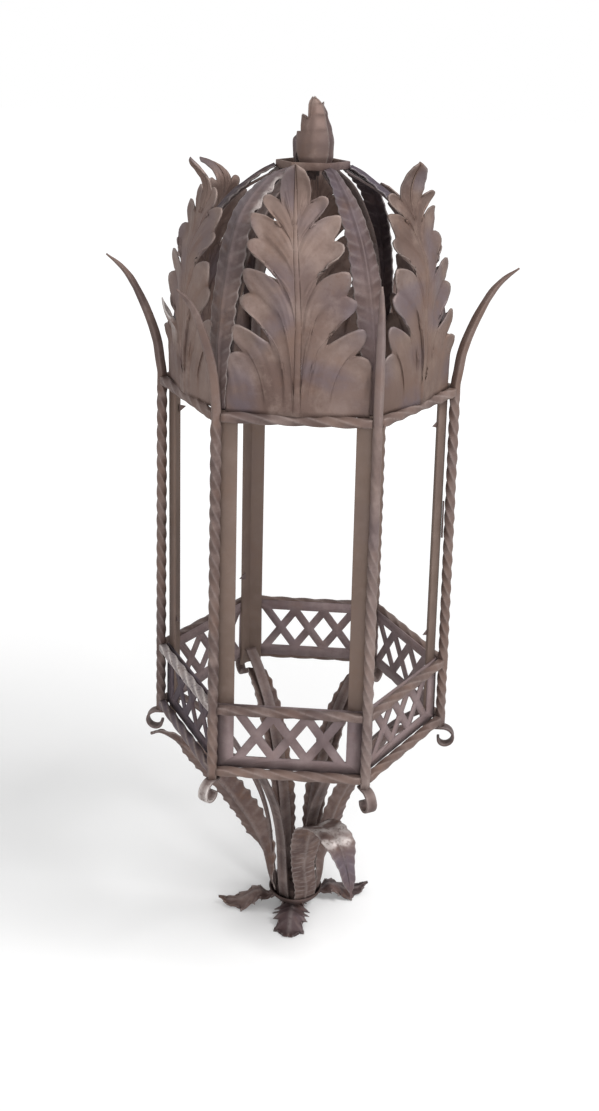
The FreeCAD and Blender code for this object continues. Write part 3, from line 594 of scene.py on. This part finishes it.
def postStations(name):
    stations = []
    turn = twistedBar["startTurn"]
    for low, high, quarters in twistedBar["bays"]:
        rows = max(2, quarters * twistedBar["quarterRows"])
        for k in range(rows):
            z = low + (high - low) * k / rows
            power = twistedBar["power"]
            if name == "front_right":  # its twist fades out towards the top
                power -= twistedBar["fade"] * ease(z, *twistedBar["fadeBetween"])
            half = twistedBar["half"] * (1 if quarters else twistedBar["plainShare"])
            stations.append((Vector((postRadius(z), 0, z)), outward, sideways, half, half,
                             turn - quarters * 90 * k / rows, power))
        turn -= quarters * 90
    reach = twistedBar["uprightReach" if name == "front_right" else "spikeReach"]
    topRadius, topLevel = twistedBar["top"]
    marks = [(topRadius, topLevel)]
    for r, z, side in twistedBar["spike"]:
        marks.append((topRadius + reach * r, topLevel + twistedBar["spikeRise"] * z))
    path = smoothLine(marks, twistedBar["spikeRows"])
    normals = rightOf(path)
    sizes = [(0, 1)] + [(z, side) for r, z, side in twistedBar["spike"]]
    for spot, normal in zip(path, normals):
        half = twistedBar["half"] * smoothTable(sizes, (spot.y - topLevel) / twistedBar["spikeRise"])
        stations.append((Vector((spot.x, 0, spot.y)), Vector((normal.x, 0, normal.y)), sideways,
                         half * 0.92, half, turn, twistedBar["spikePower"]))
    return stations


for name, azimuth in corners.items():
    bm = startMesh()
    sweptBar(bm, postStations(name), twistedBar["around"], evenly(twistedBar["rub"]))
    turnVerts(bm, bm.verts, azimuth)
    finishPiece(bm, "cornerPost_" + name, ["corner_post_" + name],
                litBarIron if name == "front_right" else barIron)

for node, (z, radius) in twistedBar["levels"].items():
    bm = startMesh()
    for azimuth in faces.values():
        bar = startMesh()
        apothem, half = radius * math.cos(math.radians(30)), radius / 2
        reach, twistEnd = half - twistedBar["levelShort"], half - twistedBar["levelPlain"]
        quarters = twistedBar["levelQuarters"]
        rows = quarters * twistedBar["levelRows"]
        slim = twistedBar["half"] * twistedBar["plainShare"]
        marks = [(-reach, slim, 0, 0), (-(reach + twistEnd) / 2, slim, 0, 0)]  # y, half side, turn, sag
        for k in range(rows + 1):
            y = -twistEnd + 2 * twistEnd * k / rows
            marks.append((y, twistedBar["half"], -quarters * 90 * k / rows,
                          twistedBar["sag"] * rough(Vector((y, azimuth, z)), 60, 8)))
        marks += [((reach + twistEnd) / 2, slim, -quarters * 90, 0), (reach, slim, -quarters * 90, 0)]
        stations = [(Vector((apothem, y, z + sag)), outward, upward, side, side, turn, twistedBar["power"])
                    for y, side, turn, sag in marks]
        rub = twistedBar["rubbed"].get((node, azimuth), twistedBar["rub"])
        blued = azimuth == faces["front_left"] and node != "crown_bars"
        sweptBar(bar, stations, twistedBar["around"], evenly(rub), blued)
        turnVerts(bar, bar.verts, azimuth)
        addMesh(bm, bar)
    bmesh.ops.recalc_face_normals(bm, faces=bm.faces)
    finishPiece(bm, node.replace("_b", "B"), [node], barIron)
print("twisted bars made")


flatStraps = {
    "dome": {"node": "dome_straps", "piece": "domeStraps", "line": [
        (154.2, 715), (154.2, 727), (152.7, 769), (146.1, 820), (132.9, 869), (111.7, 905.9), (79.1, 941.9),
        (36, 966.7)]},
    "basket": {"node": "basket_straps", "piece": "basketStraps", "halfWidth": 7.6, "line": [
        (27.2, 22.6), (31.9, 55.5), (38, 121.2), (50.1, 171.9), (70.9, 218.5), (95.8, 259.6), (129.4, 292.5),
        (161.4, 312)]},
    "halfWidth": 6.5, "halfThick": 1.5, "rows": 80, "around": 28, "power": 7, "rub": 0.2,
}
scrollBar = {
    "middle": (185.25, 272.9), "reach": 17, "eyeReach": 8, "lead": 13, "startTurn": 90, "endTurn": -175,
    "halfWidth": 6.5, "halfThick": 1.75, "rows": 44, "around": 28, "power": 6, "rub": 0.2,
    "rubbed": {240: [(0, 0.4), (0.2, 0.9), (0.5, 1), (0.75, 0.5), (1, 0.4)]},  # the front left one is paler through its middle
}


def flatStations(line, normals, sizes):
    stations = []
    for spot, normal in zip(line, normals):
        centre = spot - normal * sizes["halfThick"]
        stations.append((Vector((centre.x, 0, centre.y)), Vector((normal.x, 0, normal.y)), sideways,
                         sizes["halfThick"], sizes["halfWidth"], 0, sizes["power"]))
    return stations


def scrollStations():
    middle = Vector(scrollBar["middle"])
    line = [middle + Vector((-scrollBar["lead"], scrollBar["reach"]))]
    normals = [Vector((0, 1))]
    for k in range(scrollBar["rows"] + 1):
        share = k / scrollBar["rows"]
        turn = math.radians(scrollBar["startTurn"] + (scrollBar["endTurn"] - scrollBar["startTurn"]) * share)
        out = Vector((math.cos(turn), math.sin(turn)))
        reach = scrollBar["reach"] + (scrollBar["eyeReach"] - scrollBar["reach"]) * share
        line.append(middle + out * reach)
        normals.append(out)
    return flatStations(line, normals, scrollBar)


def sixOf(node, piece, stations, sizes):
    bm = startMesh()
    for azimuth in corners.values():
        bar = startMesh()
        sweptBar(bar, stations, sizes["around"], sizes.get("rubbed", {}).get(azimuth, evenly(sizes["rub"])))
        turnVerts(bar, bar.verts, azimuth)
        addMesh(bm, bar)
    bmesh.ops.recalc_face_normals(bm, faces=bm.faces)
    finishPiece(bm, piece, [node], strapIron)


for kind in ("dome", "basket"):
    strap = {**flatStraps, **flatStraps[kind]}
    line = smoothLine(strap["line"], strap["rows"])
    sixOf(strap["node"], strap["piece"], flatStations(line, rightOf(line), strap), strap)
sixOf("corner_scrolls", "cornerScrolls", scrollStations(), scrollBar)
print("straps and scrolls made")


basketLeaf = {
    "close": [(31, 25), (35.8, 55.5), (42.1, 115.8), (53.8, 165.1), (73.7, 211.7), (96.8, 251.4),
              (125.4, 278.8), (148.8, 287)],
    "wide": [(31, 25), (36.5, 44.5), (45, 82.9), (59, 118.5), (77, 148.6), (99, 178.8), (130, 214.4),
             (160, 241.8), (181, 254.1), (194.2, 250)],
    "sprung": [(31, 25), (36.5, 55.5), (42.6, 107.5), (55.5, 152), (78, 171), (103, 172), (126, 153),
               (150, 110)],
    "half": 17.9, "fold": 0.3, "teeth": 19, "slant": 0.6, "depth": 0.11, "round": True, "ragged": 0.6,
    "rib": 0.9, "vein": 0.5, "buckle": 0.8, "cells": 22, "rows": 170, "thick": 1.8, "seed": 31,
    "width": [(0, 0.7), (0.15, 0.8), (0.45, 1), (0.75, 1), (0.93, 0.85), (1, 0.6)],
    "pointedWidth": [(0, 0.7), (0.15, 0.8), (0.45, 1), (0.7, 0.98), (0.9, 0.5), (1, 0.06)],
    "sprungWidth": [(0, 0.62), (0.2, 0.72), (0.42, 0.95), (0.6, 1), (0.72, 0.9), (0.9, 0.42), (1, 0.04)],
    "wideTurns": [(0, 0), (0.06, 0), (0.28, 74), (0.8, 72), (0.94, 30), (1, 0)],
    "rightTurns": [(0, 0), (0.06, 0), (0.3, -58), (0.8, -52), (1, -30)],
    "places": {"right": 0, "back_right": 60, "back_left": 120, "left": 180, "sprung": 300},
    "lines": {"left": "wide", "sprung": "sprung"},  # the others lie close to their straps
}


def bareBend(s, a):  # bare worn patches over the bend of the sprung leaf
    patches = ease(0.5 + 0.8 * rough(Vector((s * 300, a * 15, 0)), 13, 4), 0.42, 0.75)
    scratches = 0.3 * ease(math.sin(s * 420 + a), 0.8, 1) * (1 - ease(s, 0.3, 0.42))
    return max(scratches, 0.95 * patches * ease(s, 0.47, 0.54) * (1 - ease(s, 0.74, 0.79)))


bentLeaves = {
    # bowed out and twisted to face the front
    "left": {"width": basketLeaf["pointedWidth"], "turns": basketLeaf["wideTurns"], "depth": 0.15, "rib": 1.2,
             "half": 24},
    # turned to the front, beside its strap
    "right": {"turns": basketLeaf["rightTurns"], "shift": -8, "uneven": -0.2, "rib": 1.2},
    # bent back on itself, bare and lumpy over the bend
    "sprung": {"width": basketLeaf["sprungWidth"], "buckle": 1.5, "vein": 0.35, "teeth": 24, "depth": 0.06,
               "half": 24, "shift": -7, "drift": 12, "fold": 0.12, "rub": bareBend,
               "cool": lambda s, a: ease(s, 0.74, 0.84)},
}
for k, (name, azimuth) in enumerate(basketLeaf["places"].items()):
    line = smoothLine(basketLeaf[basketLeaf["lines"].get(name, "close")], basketLeaf["rows"])
    leaf = {**basketLeaf, "seed": basketLeaf["seed"] + k, **bentLeaves.get(name, {})}
    bm = startMesh()
    serratedLeaf(bm, line, rightOf(line), leaf)
    turnVerts(bm, bm.verts, azimuth)
    finishPiece(bm, "basketLeaf_" + name, ["basket_leaf_" + name], rustyLeafIron,
                basketLeaf["thick"])
print("basket leaves made")


footLeaf = {  # the rise runs from the cup out to the tip, 1 at the cup's height and 0 where the leaf rests
    "rise": [(0, 1), (0.36, 1), (0.47, 1.75), (0.75, 0), (0.86, 0), (1, 0.75)], "reach": 104.6, "rest": 7,
    "curledRise": [(0, 1), (0.42, 1), (0.6, 1.3), (0.92, 0), (1, 0)], "curledReach": 77.8, "curledRest": 4,
    "top": 14.9, "start": 0.08, "places": {"left": 190, "right": 20, "front": 268, "back": 100},
    "curled": ["front", "back"],
    "half": 22.8, "curledHalf": 25.2, "fold": 0.25, "teeth": 6, "slant": 1.3, "depth": 0.36, "round": False,
    "ragged": 0.9, "rib": 0.8, "vein": 0.9, "buckle": 0.8, "cells": 24, "rows": 110, "thick": 1.8, "seed": 51,
    "lowest": 1.95,
    "width": [(0, 0.27), (0.2, 0.3), (0.45, 0.85), (0.66, 1), (0.82, 0.62), (0.93, 0.26), (1, 0.04)],
    "curledWidth": [(0, 0.6), (0.16, 0.7), (0.34, 0.95), (0.55, 1), (0.84, 0.92), (1, 0.35)],
    "foldAt": lambda s: ease(s, 0.12, 0.32),
}
for k, (name, azimuth) in enumerate(footLeaf["places"].items()):
    curled = name in footLeaf["curled"]
    rise, reach = footLeaf["curledRise" if curled else "rise"], footLeaf["curledReach" if curled else "reach"]
    rest, rows = footLeaf["curledRest" if curled else "rest"], footLeaf["rows"]
    line = []
    for j in range(rows + 1):
        share = footLeaf["start"] + (1 - footLeaf["start"]) * j / rows
        for (s0, v0), (s1, v1) in zip(rise, rise[1:]):
            if share <= s1:
                level = v0 + (v1 - v0) * (1 - math.cos(math.pi * (share - s0) / (s1 - s0))) / 2
                break
        line.append(Vector((reach * share, rest + (footLeaf["top"] - rest) * level)))
    normals = [-normal for normal in rightOf(line)]
    bm = startMesh()
    serratedLeaf(bm, line, normals, {**footLeaf, "seed": footLeaf["seed"] + k,
                                     "half": footLeaf["curledHalf" if curled else "half"],
                                     "width": footLeaf["curledWidth" if curled else "width"]})
    bmesh.ops.reverse_faces(bm, faces=bm.faces)
    turnVerts(bm, bm.verts, azimuth)
    # the left foot keeps the rusty leaf iron, the others the darker painted-shade copy
    finishPiece(bm, "footLeaf_" + name, ["foot_leaf_" + name],
                rustyLeafIron if name == "left" else footIron, footLeaf["thick"])
print("feet made")


finialBud = {
    "foot": 970.4, "radius": 22.3, "height": 69.2, "thick": 1.8, "cells": 20, "rows": 96,
    "profile": [(0, 0.9), (0.14, 1), (0.32, 1.01), (0.52, 0.92), (0.74, 0.7), (0.9, 0.46), (1, 0.34)],
    "toothed": [(12.9, 0), (17.2, 14), (18.3, 28), (17.9, 35), (13.4, 34.4), (13.7, 42), (12.9, 51.6),
                (7, 48.3), (5.4, 50), (5.2, 62), (3.8, 66.8), (0, 69)],
    "plain": [(14.9, 0), (18, 11), (18.6, 24), (16.6, 36), (13.6, 48), (11.2, 57), (8, 64), (4.2, 68),
              (0, 69)],
    "rimSoft": 0.08, "pinchSides": (26, 44), "pinchRadius": (26, 40),
    # azimuth, left rim, right rim, share of the height, and how far the tip is pressed in
    "leaves": {"front": (270, "toothed", "plain", 0.985, 0), "right": (10, "plain", "plain", 0.9, 0.03),
               "left": (165, "plain", "toothed", 0.88, 0.6)},
}
for k, (name, (azimuth, left, right, share, pinch)) in enumerate(finialBud["leaves"].items()):
    rows, cells = finialBud["rows"], finialBud["cells"]
    rims = [smoothLine(finialBud[edge], rows, finialBud["rimSoft"]) for edge in (left, right)]
    rims[0] = [Vector((-rim.x, rim.y)) for rim in rims[0]]

    def place(i, j):
        a = 2 * i / cells - 1
        rim = rims[a > 0][j]
        middle = Vector((0, finialBud["height"] * j / rows))
        u, z = middle.lerp(rim, abs(a))
        u, z = u * (1 - pinch * ease(z, *finialBud["pinchSides"])), z * share
        radius = finialBud["radius"] * smoothTable(finialBud["profile"], z / finialBud["height"])
        radius *= 1 - pinch * ease(z, *finialBud["pinchRadius"])
        rise = 0.35 * math.exp(-(a / 0.2) ** 2) + 0.5 * ease(abs(a), 0.7, 1) * ease(z, 25, 60)
        rise += 0.2 * math.cos(a * 9 - z * 0.05) * ease(z, 5, 30)
        rise += 0.9 * rough(Vector((u, z, k * 9)), 22, 7) - 0.5
        turn = math.asin(max(-0.97, min(0.97, u / radius)))
        reach = radius + rise
        spot = Vector((reach * math.cos(turn), reach * math.sin(turn), finialBud["foot"] + z))
        # pale rims: wear together with painted highlights
        return spot, 0.22 * ease(abs(a), 0.9, 1), 0.5 * ease(a, 0.2, 0.9) * (k > 0)
    bm = startMesh()
    addPatch(bm, cells, rows, place)
    turnVerts(bm, bm.verts, azimuth)
    finishPiece(bm, "finialLeaf_" + name, ["finial_leaf_" + name],
                budIron if name == "front" else ribIron, finialBud["thick"])


hubCup = {  # radius and height round the wall's section
    "profile": [(4.4, 17.5), (4.4, 15), (25, 15), (30.5, 18.2), (34.6, 23), (35.9, 26.4), (35.5, 28.2),
                (34.2, 28.2), (33, 25), (29, 20.4), (24.4, 17.5)],
    "steps": 60,
}
bm = startMesh()
ring = [bm.verts.new((r, 0, z)) for r, z in hubCup["profile"]]
edges = [bm.edges.new((a, b)) for a, b in zip(ring, ring[1:] + ring[:1])]
bmesh.ops.spin(bm, geom=ring + edges, cent=(0, 0, 0), axis=(0, 0, 1), dvec=(0, 0, 0), angle=2 * math.pi,
               steps=hubCup["steps"], use_merge=True)
bmesh.ops.recalc_face_normals(bm, faces=bm.faces)
finishPiece(bm, "hubCup", ["hub_cup"], fixingSteel)
print("finial and hub made")


# sheet, angles and fixings: the solid's own shape, its edges eased where there is room

easedNodes = {
    # the front left panel takes the darker painted-shade copy
    "gallery_panel": {"slot": "sheet_iron", "material": sheetIron, "edge": 0.45, "corner": 2.6,
                      "through": (1.9, 2.4), "others": {"gallery_panel_front_left": darkSheet}},
    "glass_angle": {"slot": "angle_iron", "material": angleIron, "edge": 0.6},
    "glass_clips": {"slot": "sheet_iron", "material": strapIron, "edge": 0.3},
    "post_tab": {"slot": "strap_iron", "material": strapIron, "edge": 0.4},
    "collar_band": {"slot": "strap_iron", "material": leafIron, "edge": 0.7},
    "collar_plate": {"slot": "sheet_iron", "material": strapIron, "edge": 0.4},
    "hanging_eye": {"slot": "fixing_steel", "material": fixingSteel, "edge": 0.6},
    "hanging_nut": {"slot": "fixing_steel", "material": fixingSteel, "edge": 0.5},
    "hanging_washer": {"slot": "fixing_steel", "material": fixingSteel, "edge": 0.3},
    "hub_bolt": {"slot": "fixing_steel", "material": fixingSteel, "edge": 0.4},
    "hub_core": {"slot": "fixing_steel", "material": fixingSteel, "edge": 0.6},
    "hub_nut": {"slot": "fixing_steel", "material": fixingSteel, "edge": 0.5},
    "hub_washer": {"slot": "fixing_steel", "material": fixingSteel, "edge": 0.3},
}
flatAngle = math.radians(2)  # faces that lie flatter than this are merged
sharpAngle = math.radians(25)  # edges sharper than this are rounded


def roundOff(bm, edges, offset, segments):
    bmesh.ops.bevel(bm, geom=edges, offset=offset, offset_type="OFFSET", segments=segments, profile=0.5,
                    affect="EDGES", material=-1, clamp_overlap=True)


def easedCopy(node, look):
    bm = bmesh.new()
    bm.from_mesh(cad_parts[node].data)
    bmesh.ops.scale(bm, vec=(1000, 1000, 1000), verts=bm.verts)  # metres to mm
    bmesh.ops.remove_doubles(bm, verts=bm.verts, dist=0.01)
    bmesh.ops.dissolve_limit(bm, angle_limit=flatAngle, verts=bm.verts, edges=bm.edges)
    if "corner" in look:  # eases the openings' corners, but only as far as the lattice leaves it room
        low, high = look["through"]
        short = [edge for edge in bm.edges if low < edge.calc_length() < high and len(edge.link_faces) == 2]
        roundOff(bm, short, look["corner"], 3)
    sharp = [edge for edge in bm.edges if len(edge.link_faces) == 2 and edge.calc_face_angle(0) > sharpAngle]
    roundOff(bm, sharp, look["edge"], 2)
    bmesh.ops.triangulate(bm, faces=[face for face in bm.faces if len(face.verts) > 4])
    return bm


for node in list(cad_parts):
    for start, look in easedNodes.items():
        if node.startswith(start):
            words = node.split("_")
            finishPiece(easedCopy(node, look), words[0] + "".join(word.capitalize() for word in words[1:]),
                        [node], look.get("others", {}).get(node, look["material"]))
print("panels, angles and fixings made")


# floor, lights and camera

studio = {
    "floorSize": 40, "floorColour": (0.8, 0.8, 0.8), "floorRoughness": 0.9, "worldFill": 0.52,
    "glow": (0.5, 2.4, 0.2, 0.65), "underGlow": (0.02, 0.13, 0.35, 1),  # from and to in metres, value at each; the second paints a contact shadow under the cup
    "key": {"spot": (1.5, -0.7, 2.6), "aim": (0, 0, 0.5), "size": 1.1, "watts": 54},
    "front": {"spot": (0.2, -2.9, 1.2), "aim": (0, 0, 0.5), "size": 2.2, "watts": 36},
    "left": {"spot": (-2.2, 0.4, 1.8), "aim": (0, 0, 0.5), "size": 1.6, "watts": 3},
}


def joined(tree, kind, first, second):
    node = tree.nodes.new("ShaderNodeMath")
    node.operation = kind
    tree.links.new(first, node.inputs[0])
    tree.links.new(second, node.inputs[1])
    return node.outputs["Value"]


def ranged(tree, value, limits, smooth=False):
    node = tree.nodes.new("ShaderNodeMapRange")
    node.interpolation_type = "SMOOTHSTEP" if smooth else "LINEAR"
    for socket, limit in zip(("From Min", "From Max", "To Min", "To Max"), limits):
        node.inputs[socket].default_value = limit
    tree.links.new(value, node.inputs["Value"])
    return node.outputs["Result"]


def cameraOnly(tree):  # 1 for what the camera sees, itself or in a reflection
    rays = tree.nodes.new("ShaderNodeLightPath")
    seen = joined(tree, "MAXIMUM", rays.outputs["Is Camera Ray"], rays.outputs["Is Glossy Ray"])
    return joined(tree, "MAXIMUM", seen, rays.outputs["Is Transmission Ray"])


world = bpy.data.worlds.new("paleStudio")
bpy.context.scene.world = world
world.use_nodes = True
background = world.node_tree.nodes["Background"]
background.inputs["Color"].default_value = (1, 1, 1, 1)
strength = ranged(world.node_tree, cameraOnly(world.node_tree), (0, 1, studio["worldFill"], 1))
world.node_tree.links.new(strength, background.inputs["Strength"])

bm = bmesh.new()
bmesh.ops.create_grid(bm, x_segments=1, y_segments=1, size=studio["floorSize"] / 2)
mesh = bpy.data.meshes.new("floor")
bm.to_mesh(mesh)
bm.free()
floor = bpy.data.objects.new("floor", mesh)
bpy.context.scene.collection.objects.link(floor)
paint = bpy.data.materials.new("paleFloor")
paint.use_nodes = True
tree = paint.node_tree
matte = tree.nodes["Principled BSDF"]
matte.inputs["Base Color"].default_value = (*studio["floorColour"], 1)
matte.inputs["Roughness"].default_value = studio["floorRoughness"]
matte.inputs["Specular IOR Level"].default_value = 0
matte.inputs["Emission Color"].default_value = (1, 1, 1, 1)
spot = tree.nodes.new("ShaderNodeTexCoord")
away = tree.nodes.new("ShaderNodeVectorMath")
away.operation = "LENGTH"
tree.links.new(spot.outputs["Object"], away.inputs[0])
pale = ranged(tree, away.outputs["Value"], studio["glow"])  # paler with the distance, and a painted contact shadow under the cup
under = ranged(tree, away.outputs["Value"], studio["underGlow"], True)
glow = joined(tree, "MULTIPLY", cameraOnly(tree), joined(tree, "MULTIPLY", pale, under))
tree.links.new(glow, matte.inputs["Emission Strength"])
mesh.materials.append(paint)

for name in ("key", "front", "left"):
    lamp = bpy.data.lights.new(name, "AREA")
    lamp.energy, lamp.size = studio[name]["watts"], studio[name]["size"]
    light = bpy.data.objects.new(name, lamp)
    light.location = studio[name]["spot"]
    aim = Vector(studio[name]["aim"]) - light.location
    light.rotation_euler = aim.to_track_quat("-Z", "Y").to_euler()
    bpy.context.scene.collection.objects.link(light)

photoCamera = {"spot": (0.09902, -1.39013, 1.0897), "azimuth": 94.265, "down": 22.443, "roll": 1.332,
               "sensor": 36, "focalPixels": 1237.17, "imageHeight": 1111}
cameraData = bpy.data.cameras.new("photoCamera")
cameraData.sensor_width = photoCamera["sensor"]
cameraData.lens = photoCamera["focalPixels"] * photoCamera["sensor"] / photoCamera["imageHeight"]
cameraData.clip_start, cameraData.clip_end = 0.05, 50
camera = bpy.data.objects.new("photoCamera", cameraData)
bpy.context.scene.collection.objects.link(camera)
azimuth, down, roll = (math.radians(photoCamera[key]) for key in ("azimuth", "down", "roll"))
forward = Vector((math.cos(azimuth) * math.cos(down), math.sin(azimuth) * math.cos(down), -math.sin(down)))
right = Vector((math.sin(azimuth), -math.cos(azimuth), 0))
above = right.cross(forward)
rolledRight = right * math.cos(roll) + above * math.sin(roll)
rolledUp = above * math.cos(roll) - right * math.sin(roll)
camera.matrix_world = Matrix((
    (rolledRight.x, rolledUp.x, -forward.x, photoCamera["spot"][0]),
    (rolledRight.y, rolledUp.y, -forward.y, photoCamera["spot"][1]),
    (rolledRight.z, rolledUp.z, -forward.z, photoCamera["spot"][2]),
    (0, 0, 0, 1)))
bpy.context.scene.camera = camera
bpy.context.scene.view_settings.view_transform = "Standard"
print("studio made")
